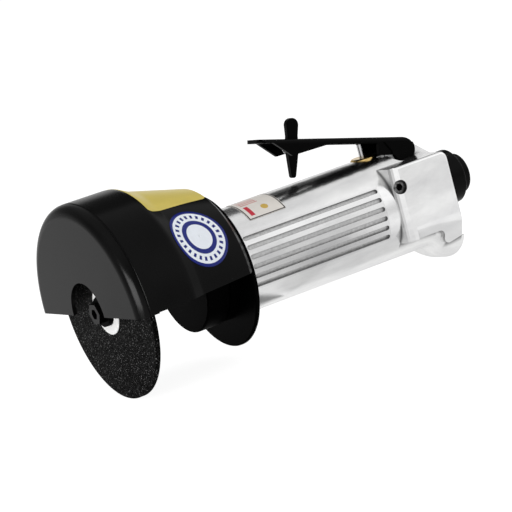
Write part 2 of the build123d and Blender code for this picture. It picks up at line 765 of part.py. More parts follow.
def throttle_lever():
    section = outline([
        (-LEVER_WIDTH / 2, cheek_low - EAR_R),
        (-LEVER_WIDTH / 2, plate_top),
        (LEVER_WIDTH / 2, plate_top),
        (LEVER_WIDTH / 2, cheek_low - EAR_R),
        (lever_inner / 2, cheek_low - EAR_R),
        (lever_inner / 2, plate_under),
        (-lever_inner / 2, plate_under),
        (-lever_inner / 2, cheek_low - EAR_R),
    ])
    bends = section.vertices().group_by(Axis.Y)[-1]
    section = fillet(bends, LEVER_BEND_R)
    inner_bends = section.vertices().group_by(lambda v: round(abs(v.Y - plate_under), 3))[0]
    section = fillet(inner_bends, LEVER_BEND_R - LEVER_SHEET)
    across = Plane(origin=on_lever(-EAR_R, 0), x_dir=(0, -1, 0), z_dir=LEVER.x_dir)
    channel = extrude(across * section, amount=EAR_R + LEVER_LENGTH)
    shape = channel & slab(lever_outline(), LEVER_WIDTH, LEVER)
    plan = plan_outline()
    plan = fillet(plan.vertices().group_by(Axis.X)[-1], LEVER_TIP_R)
    shape &= extrude(LEVER_PLAN * plan, amount=2 * EAR_R, both=True)
    shape -= slab(outline([
        (-2 * EAR_R, -2 * EAR_R),
        (-LEVER_SHEET, -2 * EAR_R),
        (-LEVER_SHEET, 2 * EAR_R),
        (-2 * EAR_R, 2 * EAR_R),
    ]), lever_inner, LEVER)
    slot_middle = lock_station + (LOCK_SLOT_FRONT - LOCK_SLOT_REAR) / 2
    slot = Rectangle(LOCK_SLOT_FRONT + LOCK_SLOT_REAR, LOCK_THICKNESS + 2 * SIDE_GAP)
    shape -= extrude(LEVER_PLAN * (Pos(slot_middle, 0) * slot), amount=2 * LEVER_SHEET, both=True)
    pad = lever_outline() & outline([
        (-2 * EAR_R, -2 * EAR_R),
        (EAR_R + EAR_PAD, -2 * EAR_R),
        (EAR_R + EAR_PAD, -EAR_PAD),
        (EAR_R + plate_top - LEVER_BEND_R + 2 * EAR_PAD, plate_top - LEVER_BEND_R),
        (-2 * EAR_R, plate_top - LEVER_BEND_R),
    ])
    pads = slab(pad, LEVER_WIDTH + 2 * EAR_PAD, LEVER) - slab(pad, LEVER_WIDTH, LEVER)
    shape += pads
    pivot_hole = LEVER * Cylinder(PIVOT_PIN_R + RUNNING_FIT, 2 * LEVER_WIDTH)
    lock_hole = LEVER * Pos(lock_station, lock_pivot, 0) * Cylinder(LOCK_PIN_R, 2 * LEVER_WIDTH)
    return shape - pivot_hole - lock_hole


LEVER_PLAN = Plane(origin=on_lever(0, plate_top), x_dir=LEVER.x_dir, z_dir=LEVER.y_dir)


def plan_outline():
    return outline([
        (-2 * EAR_R, -LEVER_WIDTH),
        (LEVER_LENGTH, -LEVER_WIDTH / 2),
        (LEVER_LENGTH, LEVER_WIDTH / 2),
        (-2 * EAR_R, LEVER_WIDTH),
    ])


def lock_lever():
    tab_top = plate_top + LOCK_TAB_HEIGHT
    tip_low = plate_top - LOCK_LEG_LENGTH
    waist = plate_top + LOCK_TAB_R / 2
    tab = hull((0, tab_top - LOCK_TAB_R, LOCK_TAB_R), (0, waist, LOCK_WAIST_R))
    neck = hull((0, waist, LOCK_WAIST_R), (0, lock_pivot, LOCK_HUB_R))
    leg = hull((0, lock_pivot, LOCK_HUB_R), (0, tip_low + LOCK_TIP_R, LOCK_TIP_R))
    face = Pos(lock_station, 0) * (tab + neck + leg)
    shape = slab(face, LOCK_THICKNESS, LEVER)
    flats = shape.faces().filter_by(Axis.Y)
    shape = fillet(flats[0].edges() + flats[1].edges(), LOCK_EDGE_R)
    hole = Cylinder(LOCK_PIN_R + RUNNING_FIT, 2 * LOCK_THICKNESS)
    return shape - LEVER * Pos(lock_station, lock_pivot, 0) * hole


def lock_spring():
    start = LOCK_THICKNESS / 2 + SIDE_GAP + COIL_WIRE_R
    spring = coil("lock_spring", COIL_R, COIL_PITCH, COIL_TURNS, COIL_WIRE_R)
    return LEVER * Pos(lock_station, lock_pivot, start) * spring


# Throttle valve

def valve_bush():
    top = SPINDLE_Z + bush_top
    seat = SPINDLE_Z + seat_z
    shape = rod_z(BUSH_R, seat, top, valve_x)
    shape -= rod_z(STEM_R + RUNNING_FIT, seat, top, valve_x)
    shape -= rod_z(BUSH_CAVITY_R, seat, top - BUSH_BORE_LENGTH, valve_x)
    shape -= rod_x(PASSAGE_R, valve_x - 2 * BUSH_R, valve_x, z=SPINDLE_Z + PASSAGE_Z)
    rim = shape.edges().filter_by(GeomType.CIRCLE).group_by(Axis.Z)[-1].sort_by(SortBy.RADIUS)[-1]
    return chamfer(rim, BUSH_EDGE)


def stem_top():
    """Height of the lever's underside over the valve, less the gap."""
    slope = radians(LEVER_SLOPE)
    under = plate_under / cos(slope) + (pivot_x - valve_x - STEM_R) * tan(slope)
    return SPINDLE_Z + pivot_z + under - STEM_LEVER_GAP


def valve_stem():
    head_top = SPINDLE_Z + seat_z - SEAL_THICKNESS - SEAT_GAP
    shape = rod_z(STEM_R, head_top, stem_top(), valve_x)
    rim = shape.edges().filter_by(GeomType.CIRCLE).sort_by(Axis.Z)[-1]
    shape = fillet(rim, STEM_R / 2)
    return shape + rod_z(VALVE_HEAD_R, head_top - VALVE_HEAD_HEIGHT, head_top, valve_x)


def valve_seal():
    top = SPINDLE_Z + seat_z - SEAT_GAP
    shape = rod_z(VALVE_HEAD_R, top - SEAL_THICKNESS, top, valve_x)
    return shape - rod_z(STEM_R, top - SEAL_THICKNESS, top, valve_x)


def valve_spring():
    top = SPINDLE_Z + seat_z - SEAL_THICKNESS - VALVE_HEAD_HEIGHT - 2 * SEAT_GAP
    bottom = SPINDLE_Z + chamber_z
    pitch = (top - bottom - 2 * SPRING_WIRE_R - SEAT_GAP) / SPRING_TURNS
    spring = coil("valve_spring", SPRING_R, pitch, SPRING_TURNS, SPRING_WIRE_R)
    return Pos(valve_x, 0, bottom + SPRING_WIRE_R) * spring


def set_screw():
    head = block_width / 2 - SET_SCREW_RECESS
    length = head - BUSH_R - SEAT_GAP
    base = Plane(origin=(valve_x, -head, SPINDLE_Z + SET_SCREW_Z), x_dir=(1, 0, 0), z_dir=(0, 1, 0))
    shape = extrude(base * Circle(SET_SCREW_R), amount=length)
    return shape - extrude(base * hexagon(SET_SCREW_SOCKET_FLATS), amount=SET_SCREW_R)


# Air inlet

def inlet_bushing():
    deep = boss_rear - INLET_SPIGOT_DEPTH
    face = outline([
        (0, THREAD_R),
        (0, INLET_HEAD_R),
        (collar_rear, INLET_HEAD_R),
        (collar_rear, INLET_SPIGOT_R),
        (deep, INLET_SPIGOT_R),
        (deep, INLET_BORE_R),
        (-THREAD_DEPTH, INLET_BORE_R),
        (-THREAD_DEPTH, THREAD_R),
    ])
    mouth = face.vertices().sort_by(lambda v: v.X + v.Y)[-1]
    side = Plane(origin=(0, 0, 0), x_dir=(1, 0, 0), z_dir=(0, -1, 0))
    return revolve(side * fillet(mouth, INLET_EDGE_R), INLET_AXIS)


def inlet_collar():
    shape = ring_x(COLLAR_R, INLET_SPIGOT_R + SEAT_GAP, boss_rear, collar_rear, z=0)
    rim = shape.edges().filter_by(GeomType.CIRCLE).group_by(Axis.X)[-1].sort_by(SortBy.RADIUS)[-1]
    return fillet(rim, COLLAR_EDGE_R)


def inlet_screen():
    rear = boss_rear - INLET_SPIGOT_DEPTH - SEAT_GAP
    return rod_x(INLET_SPIGOT_R, rear - SCREEN_THICKNESS + 2 * SEAT_GAP, rear, z=0)


def silencer():
    front = spout_front + 3 * SPOUT_WALL
    middle = front + SILENCER_THICKNESS / 2
    keep = block_at((SILENCER_THICKNESS, block_width, 4 * SPOUT_DEPTH), (middle, 0, SPINDLE_Z))
    return spout_hollow(SEAT_GAP) & keep


def write(name, shape):
    shape.label = name
    export_step(shape, os.path.join("parts", name + ".step"))


front_outer, front_inner, front_balls = bearing(
    FRONT_BEARING_BORE_R, FRONT_BEARING_R, FRONT_BEARING_WIDTH, front_bearing_front)
rear_outer, rear_inner, rear_balls = bearing(
    REAR_BEARING_BORE_R, REAR_BEARING_R, REAR_BEARING_WIDTH, carrier_front)
parts = {
    "housing": housing(),
    "cylinder_liner": liner(),
    "front_end_plate": front_end_plate(),
    "rear_end_plate": rear_end_plate(),
    "front_bearing_outer_ring": front_outer,
    "front_bearing_inner_ring": front_inner,
    "front_bearing_balls": front_balls,
    "rear_bearing_outer_ring": rear_outer,
    "rear_bearing_inner_ring": rear_inner,
    "rear_bearing_balls": rear_balls,
    "rotor": rotor(),
    "rotor_vanes": vanes(),
    "nose_nut": nose_nut(),
    "guard_plate": guard_plate(),
    "guard_hood": guard_hood(),
    "inner_flange": inner_flange(),
    "cutting_wheel": ring_x(WHEEL_R, ARBOR_R, wheel_front, wheel_rear),
    "wheel_label": ring_x(LABEL_R, ARBOR_R, label_front, wheel_front),
    "outer_washer": ring_x(WASHER_R, SCREW_R + SEAT_GAP, washer_front, label_front),
    "wheel_screw": wheel_screw(),
    "throttle_lever": throttle_lever(),
    "lever_pin": rod_y(PIVOT_PIN_R, LEVER_WIDTH + 2 * EAR_PAD, pivot_x, SPINDLE_Z + pivot_z),
    "lock_lever": lock_lever(),
    "lock_pin": LEVER * Pos(lock_station, lock_pivot, 0) * Cylinder(LOCK_PIN_R, LEVER_WIDTH),
    "lock_spring": lock_spring(),
    "valve_bush": valve_bush(),
    "valve_stem": valve_stem(),
    "valve_seal": valve_seal(),
    "valve_spring": valve_spring(),
    "set_screw": set_screw(),
    "inlet_bushing": inlet_bushing(),
    "inlet_collar": inlet_collar(),
    "inlet_screen": inlet_screen(),
    "exhaust_silencer": silencer(),
}
os.makedirs("parts", exist_ok=True)
for part_name, part_shape in parts.items():
    write(part_name, part_shape)
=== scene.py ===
import json
import math

import bmesh
import bpy
from mathutils import Matrix, Vector
from mathutils.bvhtree import BVHTree


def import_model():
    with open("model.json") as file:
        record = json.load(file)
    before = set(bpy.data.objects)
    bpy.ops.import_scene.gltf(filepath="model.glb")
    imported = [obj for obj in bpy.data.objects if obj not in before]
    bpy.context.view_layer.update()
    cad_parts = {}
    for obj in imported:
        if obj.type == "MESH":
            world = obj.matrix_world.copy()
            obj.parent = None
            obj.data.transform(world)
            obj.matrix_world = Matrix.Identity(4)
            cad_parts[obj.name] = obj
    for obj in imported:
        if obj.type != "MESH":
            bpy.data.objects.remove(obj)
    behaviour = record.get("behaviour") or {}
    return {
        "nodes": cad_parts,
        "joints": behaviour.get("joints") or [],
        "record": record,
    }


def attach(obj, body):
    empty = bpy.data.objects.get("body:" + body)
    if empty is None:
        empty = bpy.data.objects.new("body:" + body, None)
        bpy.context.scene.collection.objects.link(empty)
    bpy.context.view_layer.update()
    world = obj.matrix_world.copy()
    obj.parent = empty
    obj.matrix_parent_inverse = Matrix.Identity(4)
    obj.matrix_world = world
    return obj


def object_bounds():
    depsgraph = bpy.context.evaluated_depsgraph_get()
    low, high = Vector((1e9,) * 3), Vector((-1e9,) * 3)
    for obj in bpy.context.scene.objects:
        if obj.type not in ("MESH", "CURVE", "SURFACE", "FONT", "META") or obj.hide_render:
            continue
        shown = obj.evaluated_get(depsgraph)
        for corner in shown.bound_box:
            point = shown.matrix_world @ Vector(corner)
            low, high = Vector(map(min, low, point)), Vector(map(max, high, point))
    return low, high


# An in-line air cut-off tool, dressed around its solids. Lengths are in metres, angles in degrees.
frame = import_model()
nodes = frame["nodes"]
cad_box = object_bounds()

# The heights of the spindle's axis and of the floor under the tool
joints = {joint["name"]: joint for joint in frame["joints"]}
SPINDLE_Z = joints["spindle_spin"]["pos_m"][2]
FLOOR_Z = cad_box[0][2]

# Camera: the photograph's viewing angle
AIM = Vector((-0.1257, -0.0300, 0.0016))
AZIMUTH = -28.80
ELEVATION = 9.10
ROLL = -15.19
DISTANCE = 0.900
SENSOR = 36.0
LENS = 157.64

# Barrel: its axis and taper, where its grooves start and end, and how deep they have to be to count as raw
BARREL_Z = -0.0027
BARREL_FRONT = -0.1291
BARREL_FRONT_R = 0.0223
BARREL_TAPER = 0.0050
GROOVES_X = (-0.1245, -0.0555)
GROOVE_DEPTHS = (0.0003, 0.0007)

# The ribbed band that the grooves lie in, by its height over the barrel's axis
RIBS_LOW = -0.0112
RIBS_HIGH = 0.0126
RIBS_BLEND = 0.0012
RIB_TONE = 0.88

# Rear block: the lower edge of its sides, which dips over the spout in an S of two round bends and then rises
EDGE_FRONT = -0.0502
EDGE_REAR = -0.0200
EDGE_Z = SPINDLE_Z - 0.0134
EDGE_RISE = 0.0013
DIP_FRONT = EDGE_REAR - 0.0122
DIP_BEND = 0.0028
DIP_RUN = 2 * DIP_BEND
DIP_DROP = 0.0068
BEND_R = (DIP_BEND ** 2 + (DIP_DROP / 2) ** 2) / DIP_DROP

# The flank over that edge: inclined inwards, and its top sags to the rear
BLOCK_SIDE = 0.0240
FLANK_FRONT = -0.0440
FLANK_Z = SPINDLE_Z - 0.0095
FLANK_LEAN = math.tan(math.radians(22.8))
FLANK_SAG = 0.0027
FLANK_BLEND = 0.0005

# Painted shade darkens the flank and the faces of the shoulder that look sideways
SHOULDER_REAR = -0.0480
SHOULDER_SIDEWAYS = 0.9
SIDE_SHADE_TONE = 0.85

# Painted shadow lies in the seam under the edge and on the outer part of the S's riser, which doesn't look
# sideways
SEAM_SHADOW_TONE = 0.25
SEAM_SHADOW_DEPTH = 0.0028
SEAM_SHADOW_FADE = 0.0010
RISER_SIDEWAYS = (0.25, 0.10)
RISER_SHADOW_FADE = (0.0029, 0.0003)

# Stickers: places along X, and angles round the spindle axis from the horizontal on the near side
STICKER_LIFT = 0.00014
STICKER_THICKNESS = 0.0001
HOOD_LABEL = {
    "x": (-0.1653, -0.1339), "front_angles": (51.9, 128.1), "rear_angles": (62.0, 118.0),
    "radius": 0.045, "corner": 0.0022,
}
BARREL_LABEL = {
    "x": (-0.1161, -0.0980), "front_angles": (47.8, 95.0), "rear_angles": (47.8, 95.0),
    "radius": BARREL_FRONT_R, "corner": 0.0008,
}
LABEL_STEPS_ALONG = 28
LABEL_STEPS_ROUND = 36
BADGE_X = -0.1503
BADGE_ANGLE = 31.6
BADGE_R = 0.0131
BADGE_CENTRE_R = 0.00002
BADGE_STEPS_OUT = 14
BADGE_STEPS_ROUND = 72
RAY_FROM_AXIS = 0.1
RAY_FROM_SKIN = 0.02

# Print on the round badge
BADGE_BLUE = (0.005, 0.013, 0.17)
BADGE_RIM = 0.0013
BADGE_RING = (0.0058, 0.0078)
BADGE_TICK_RING = (0.0090, 0.0107)
BADGE_TICKS = 24
BADGE_TICK_SHARE = 0.45

# Print on the barrel's label, by places from its front low corner
FRAME_DARK = (0.02, 0.02, 0.02)
FRAME_INSET = 0.0002
FRAME_WIDTH = 0.0005
PLATE_BAR = ((0.0022, 0.0042), (0.0020, 0.0085))
PLATE_RULES = (0.0100, 0.0115, 0.0130, 0.0145)
PLATE_RULE_ENDS = (0.0022, 0.0105)
PLATE_RULE_WIDTH = 0.0006
PLATE_DOT = (0.0105, 0.0050)
PLATE_DOT_R = 0.0016
PLATE_RED = (0.55, 0.03, 0.05)
PLATE_PINK = (0.62, 0.22, 0.20)
PLATE_OCHRE = (0.62, 0.42, 0.10)

# Light: the soft light of the room, and the lamps
SOFT_LIGHT = 0.45
LAMPS = (
    {"name": "edge", "position": (-1.16, -0.59, 0.12), "size": (0.90, 0.70), "power": 45.0,
     "mirrored": True, "only": ("guard_hood",)},
    {"name": "front", "position": (-1.3, -0.25, 0.10), "size": (0.5, 0.5), "power": 7.0},
    {"name": "key", "position": (-0.9, -0.8, 0.9), "size": (0.9, 0.9), "power": 5.0},
    {"name": "fill", "position": (0.9, -0.9, 0.7), "size": (0.9, 0.9), "power": 4.0},
    {"name": "top", "position": (0.0, 0.3, 1.4), "size": (1.2, 1.2), "power": 4.0},
)

# How bright the white room looks in reflections, round the tool from the near side (0)
ROOM = (
    (-180, 0.8), (-150, 0.9), (-95, 0.5), (-62, 0.12), (-44, 0.25), (-28, 1.3),
    (0, 1.0), (18, 0.88), (30, 0.78), (36, 0.85), (46, 1.02), (60, 1.0), (110, 0.8), (150, 0.85), (180, 0.8),
)

# How bright its upper part looks. Pairs say where a change starts and ends, by the direction's x, y or z.
UPPER_Z = (0.05, 0.40)
UPPER_NEAR = 1.18
UPPER_FAR = 0.80
UPPER_FAR_Y = (0.0, 0.6)
UPPER_LEFT = 0.25
UPPER_LEFT_X = (-0.10, 0.40)
TOP_Z = (0.55, 0.90)
TOP_TONE = 0.78

# A dark card in the upper room, which carries on the lever's dark reflection in the barrel
CARD_X = (0.28, 0.42)
CARD_NEAR_Y = (0.36, 0.43)
CARD_FAR_Y = (0.85, 0.77)
CARD_Z = (0.28, 0.40)
CARD_TONE = 0.08

# Floor: its own tone, how much of the plain white it takes on, and how bright that white is to the lens
FLOOR_RADIUS = 30.0
FLOOR_CORNERS = 96
FLOOR_TONE = 0.9
FLOOR_ROUGHNESS = 0.9
FLOOR_GLOW = 0.70
LENS_WHITE = 1.30

# How bright the floor looks in reflections, as (y, level) stops. X is counted from the tool's middle.
TOOL_MIDDLE = -0.095
BARREL_FLOOR = (
    (-0.30, 1.0), (-0.12, 0.80), (-0.06, 0.74), (-0.010, 0.78), (0.001, 1.25), (0.016, 1.30), (0.03, 1.05),
)
BLOCK_FLOOR = ((-0.40, 0.90), (-0.25, 0.95), (-0.16, 1.15), (-0.05, 1.12), (-0.02, 1.05), (0.03, 1.0))
BARREL_FLOOR_END = (0.080, 0.052)
FLOOR_BEHIND = 1.9
FLOOR_BEHIND_X = (-0.06, -0.14)
FLOOR_BEHIND_Y = (-0.01, 0.12)


# Node helpers

def node(tree, kind, inputs=None, **settings):
    """A shader node, with its inputs set to values or linked to sockets."""
    made = tree.nodes.new(kind)
    for name, value in settings.items():
        setattr(made, name, value)
    for name, value in (inputs or {}).items():
        if isinstance(value, bpy.types.NodeSocket):
            tree.links.new(value, made.inputs[name])
        else:
            made.inputs[name].default_value = value
    return made


def surface(name, **inputs):
    """A material with a Principled shader; returns the material, its tree and its shader."""
    made = bpy.data.materials.new(name)
    made.use_nodes = True
    shader = made.node_tree.nodes["Principled BSDF"]
    for key, value in inputs.items():
        shader.inputs[key.replace("_", " ")].default_value = value
    return made, made.node_tree, shader


def wire(tree, shader, **sockets):
    """Links sockets to the shader's inputs."""
    for key, socket in sockets.items():
        tree.links.new(socket, shader.inputs[key.replace("_", " ")])


def grey(tone):
    return (tone, tone, tone, 1.0)


def scaled(colour, factor):
    return tuple(factor * c for c in colour)


def place(tree):
    return node(tree, "ShaderNodeTexCoord").outputs["Object"]


def parts_of(tree, vector):
    return [node(tree, "ShaderNodeSeparateXYZ", {"Vector": vector}).outputs[axis] for axis in "XYZ"]


def noise(tree, vector, scale, detail=2.0, roughness=0.5):
    inputs = {"Vector": vector, "Scale": scale, "Detail": detail, "Roughness": roughness}
    return node(tree, "ShaderNodeTexNoise", inputs).outputs["Fac"]


def calc(tree, operation, *values, clamp=False):
    made = node(tree, "ShaderNodeMath", dict(enumerate(values)), operation=operation, use_clamp=clamp)
    return made.outputs[0]


def product(tree, first, *others):
    for other in others:
        first = calc(tree, "MULTIPLY", first, other)
    return first


def ramp(tree, value, low, high):
    """Maps 0..1 to low..high."""
    mapped = node(tree, "ShaderNodeMapRange", {"Value": value, "To Min": low, "To Max": high})
    return mapped.outputs["Result"]


def spread(tree, value, middle, share):
    """Maps 0..1 to a range round a middle value, a share of it each way."""
    return ramp(tree, value, (1 - share) * middle, (1 + share) * middle)


def rise(tree, value, low, high):
    """0 at low, 1 at high, smooth between; it falls where high is the smaller one."""
    inputs = {"Value": value, "From Min": low, "From Max": high}
    return node(tree, "ShaderNodeMapRange", inputs, interpolation_type="SMOOTHSTEP").outputs["Result"]


def band(tree, value, low, high):
    """1 between low and high, 0 elsewhere."""
    return product(tree, calc(tree, "GREATER_THAN", value, low), calc(tree, "LESS_THAN", value, high))


def shade(tree, value, *stops):
    """A colour ramp through (position, grey or colour) stops."""
    made = node(tree, "ShaderNodeValToRGB", {"Fac": value})
    elements = made.color_ramp.elements
    while len(elements) < len(stops):
        elements.new(0.5)
    for element, (position, colour) in zip(elements, stops):
        element.position = position
        element.color = grey(colour) if isinstance(colour, float) else (*colour, 1.0)
    return made.outputs["Color"]


# Where most of a noise's values lie
NOISE_REACH = (0.3, 0.7)
NARROW_REACH = (0.35, 0.65)


def tones(tree, value, dark, light, reach=NOISE_REACH):
    """Goes from dark to light over the reach of a noise's values."""
    return shade(tree, value, (reach[0], dark), (reach[1], light))


def mix(tree, share, first, second, blend="MIX"):
    made = node(tree, "ShaderNodeMixRGB", {"Fac": share, "Color1": first, "Color2": second}, blend_type=blend)
    return made.outputs["Color"]


def bump(tree, height, strength, distance):
    made = node(tree, "ShaderNodeBump", {"Height": height, "Strength": strength, "Distance": distance})
    return made.outputs["Normal"]


# The shares of open sky at which crevices are darkest, and as bright as open skin
CREVICE_LIGHT = (0.35, 0.95)
CREVICE_SAMPLES = 16


def crevice(tree, distance, darkest):
    """A grey that darkens where surfaces close in: painted shade on the casting, and the oxide left in its
    hollows on the rubbed steel.
    """
    sky = node(tree, "ShaderNodeAmbientOcclusion", {"Distance": distance}, samples=CREVICE_SAMPLES).outputs["AO"]
    return ramp(tree, rise(tree, sky, *CREVICE_LIGHT), darkest, 1.0)


# Cast aluminium. Noise scales are per metre, here and in the other materials.

POLISH_STRETCH = (0.35, 1.0, 1.0)
POLISH_CLOUDS = 60.0
POLISH_GRAIN = 2600.0
POLISH_WAVES = 110.0
POLISH_TONES = ((0.74, 0.74, 0.745), (0.95, 0.95, 0.945))
POLISH_REACH = (0.34, 0.64)
POLISH_ROUGHNESS = (0.14, 0.24)
CAST_PITS = 1100.0
CAST_TONES = (0.52, 0.78)
CAST_ROUGHER = 0.30
CAST_RELIEF = 4.0
WAVE_RELIEF = 12.0
CASTING_BUMP = (0.12, 0.0001)
# Painted shade in the casting's crevices: how far it reaches and its darkest grey; the grooves' floors take less
# of it
CASTING_CREVICE_SHADE = (0.0025, 0.28)
GROOVE_OPEN = 0.45


def groove_shares(tree, at):
    """The shares of the grooves' raw floors and of the ribbed band that they lie in."""
    x, y, z = parts_of(tree, at)
    up = calc(tree, "SUBTRACT", z, BARREL_Z)
    radius = calc(tree, "SQRT", calc(tree, "MULTIPLY_ADD", y, y, calc(tree, "MULTIPLY", up, up)))
    skin = calc(tree, "MULTIPLY_ADD", calc(tree, "SUBTRACT", x, BARREL_FRONT), BARREL_TAPER, BARREL_FRONT_R)
    deep = rise(tree, calc(tree, "SUBTRACT", skin, radius), *GROOVE_DEPTHS)
    over = rise(tree, up, RIBS_LOW, RIBS_LOW + RIBS_BLEND)
    under = rise(tree, up, RIBS_HIGH, RIBS_HIGH - RIBS_BLEND)
    grooved = band(tree, x, *GROOVES_X)
    return product(tree, deep, grooved), product(tree, over, under, grooved)


def bend_drop(tree, run):
    """How far a round bend of the S has dropped after a run along the tool."""
    run = calc(tree, "MINIMUM", calc(tree, "MAXIMUM", run, 0.0), DIP_BEND)
    square = calc(tree, "MULTIPLY_ADD", calc(tree, "MULTIPLY", run, run), -1.0, BEND_R ** 2)
    return calc(tree, "SUBTRACT", BEND_R, calc(tree, "SQRT", square))


def edge_height(tree, run):
    """The height of the block's S-shaped lower edge, by the run from where its dip starts."""
    first = bend_drop(tree, run)
    second = calc(tree, "SUBTRACT", DIP_DROP, bend_drop(tree, calc(tree, "SUBTRACT", DIP_RUN, run)))
    in_second = calc(tree, "GREATER_THAN", run, DIP_BEND)
    drop = calc(tree, "MULTIPLY_ADD", in_second, calc(tree, "SUBTRACT", second, first), first)
    past = calc(tree, "MAXIMUM", calc(tree, "SUBTRACT", run, DIP_RUN), 0.0)
    slope = EDGE_RISE / (EDGE_REAR - DIP_FRONT - DIP_RUN)
    return calc(tree, "MULTIPLY_ADD", past, slope, calc(tree, "SUBTRACT", EDGE_Z, drop))


def seam_shadow_share(tree, run, below):
    """The share of painted shadow under the edge, left out along the riser."""
    before = rise(tree, run, SEAM_SHADOW_FADE, 0.0)
    after = rise(tree, run, DIP_RUN - SEAM_SHADOW_FADE, DIP_RUN)
    start = calc(tree, "GREATER_THAN", below, 0.0)
    return product(tree, start, rise(tree, below, SEAM_SHADOW_DEPTH, 0.0), calc(tree, "ADD", before, after))


def riser_shares(tree, run, y, z, sideways):
    """The share of the riser's wall, and of the painted shadow that fades in from its outer edge."""
    wall = product(
        tree, rise(tree, sideways, *RISER_SIDEWAYS), band(tree, run, -SEAM_SHADOW_FADE, DIP_RUN + SEAM_SHADOW_FADE),
        calc(tree, "LESS_THAN", z, EDGE_Z + SEAM_SHADOW_FADE))
    lean = calc(tree, "MULTIPLY", calc(tree, "MAXIMUM", calc(tree, "SUBTRACT", FLANK_Z, z), 0.0), FLANK_LEAN)
    depth = calc(tree, "SUBTRACT", calc(tree, "SUBTRACT", BLOCK_SIDE, lean), calc(tree, "ABSOLUTE", y))
    return wall, rise(tree, depth, *RISER_SHADOW_FADE)


def flank_share(tree, x, z, below):
    """The share of the inclined flank, from its sagging top down to the edge."""
    along = calc(tree, "DIVIDE", calc(tree, "SUBTRACT", x, FLANK_FRONT), EDGE_REAR - FLANK_FRONT)
    top = calc(tree, "MULTIPLY_ADD", calc(tree, "MULTIPLY", along, along), -FLANK_SAG, FLANK_Z)
    under = rise(tree, calc(tree, "SUBTRACT", top, z), -FLANK_BLEND, FLANK_BLEND)
    return product(
        tree, under, calc(tree, "GREATER_THAN", x, FLANK_FRONT), calc(tree, "LESS_THAN", below, 0.0))


def block_painted_shade(tree, at):
    """The shares of painted shadow and of painted shade on the block."""
    x, y, z = parts_of(tree, at)
    facing = parts_of(tree, node(tree, "ShaderNodeNewGeometry").outputs["True Normal"])
    sideways = calc(tree, "ABSOLUTE", facing[1])
    run = calc(tree, "SUBTRACT", x, DIP_FRONT)
    below = calc(tree, "SUBTRACT", edge_height(tree, run), z)
    on_block = band(tree, x, EDGE_FRONT, EDGE_REAR)
    wall, wall_shadow = riser_shares(tree, run, y, z, sideways)
    painted_shadow = mix(tree, wall, seam_shadow_share(tree, run, below), wall_shadow)
    shoulder = product(
        tree, calc(tree, "LESS_THAN", x, SHOULDER_REAR), calc(tree, "GREATER_THAN", sideways, SHOULDER_SIDEWAYS))
    painted_side_shade = calc(tree, "MAXIMUM", flank_share(tree, x, z, below), shoulder)
    return product(tree, painted_shadow, on_block), product(tree, painted_side_shade, on_block)


def aluminium():
    """A polished casting: raw in its grooves, darker on its ribbed band, with painted shade on its flank,
    shoulder and crevices and a painted shadow in its seam.
    """
    made, tree, shader = surface("cast_aluminium", Metallic=1.0)
    at = place(tree)
    cast, ribs = groove_shares(tree, at)
    painted_shadow, painted_side_shade = block_painted_shade(tree, at)
    drawn = node(tree, "ShaderNodeMapping", {"Vector": at, "Scale": POLISH_STRETCH}).outputs["Vector"]
    cloud = noise(tree, drawn, POLISH_CLOUDS, 4.0, 0.6)
    grain = noise(tree, at, POLISH_GRAIN, 3.0)
    wave = noise(tree, at, POLISH_WAVES, 3.0)
    pits = noise(tree, at, CAST_PITS, 4.0, 0.7)
    colour = mix(tree, ribs, tones(tree, cloud, *POLISH_TONES, POLISH_REACH), grey(RIB_TONE), "MULTIPLY")
    colour = mix(tree, cast, colour, tones(tree, pits, *CAST_TONES))
    # Painted shade on the flank and on the shoulder's sideways faces
    colour = mix(tree, painted_side_shade, colour, grey(SIDE_SHADE_TONE), "MULTIPLY")
    # Painted shadow in the seam under the block's edge and on the riser
    colour = mix(tree, painted_shadow, colour, grey(SEAM_SHADOW_TONE))
    # Painted shade where surfaces close in, weaker on the grooves' floors
    shaded = calc(tree, "SUBTRACT", 1.0, calc(tree, "MULTIPLY", cast, GROOVE_OPEN))
    colour = mix(tree, shaded, colour, crevice(tree, *CASTING_CREVICE_SHADE), "MULTIPLY")
    height = calc(tree, "MULTIPLY_ADD", calc(tree, "MULTIPLY", cast, pits), CAST_RELIEF, grain)
    height = calc(tree, "MULTIPLY_ADD", wave, WAVE_RELIEF, height)
    rough = calc(tree, "MULTIPLY_ADD", cast, CAST_ROUGHER, ramp(tree, cloud, *POLISH_ROUGHNESS))
    wire(tree, shader, Base_Color=colour, Roughness=rough, Normal=bump(tree, height, *CASTING_BUMP))
    return made


# Coats, metals, grit and paper

COAT_CLOUDS = 60.0
COAT_PEEL = 900.0
COAT_TONE_VARIES = 0.2
COAT_ROUGHNESS_VARIES = 0.15
SKIN_BUMP = (0.05, 0.0001)
RUBBED_SPOTS = 700.0
RUBBED_TONES = (0.04, 0.22)
RUBBED_CREVICE = (0.0015, 0.1)
RUBBED_ROUGHNESS = (0.45, 0.30)
METAL_CLOUDS = 150.0
METAL_DARK = 0.85
METAL_VARIES = 0.2
GRIT_GRAINS = 2800.0
GRIT_FINE = 3200.0
GRIT_TONES = ((0.0, 0.0006), (0.80, 0.004), (0.95, 0.03), (1.0, 0.25))
GRIT_ROUGHNESS = (0.75, 0.35)
GRIT_BUMP = (0.7, 0.0004)
GRIT_SPECULAR = 0.02
PAPER_FIBRES = 1800.0
PAPER_DARK = 0.93
PAPER_VARIES = 0.05
PAPER_ROUGHNESS = 0.55


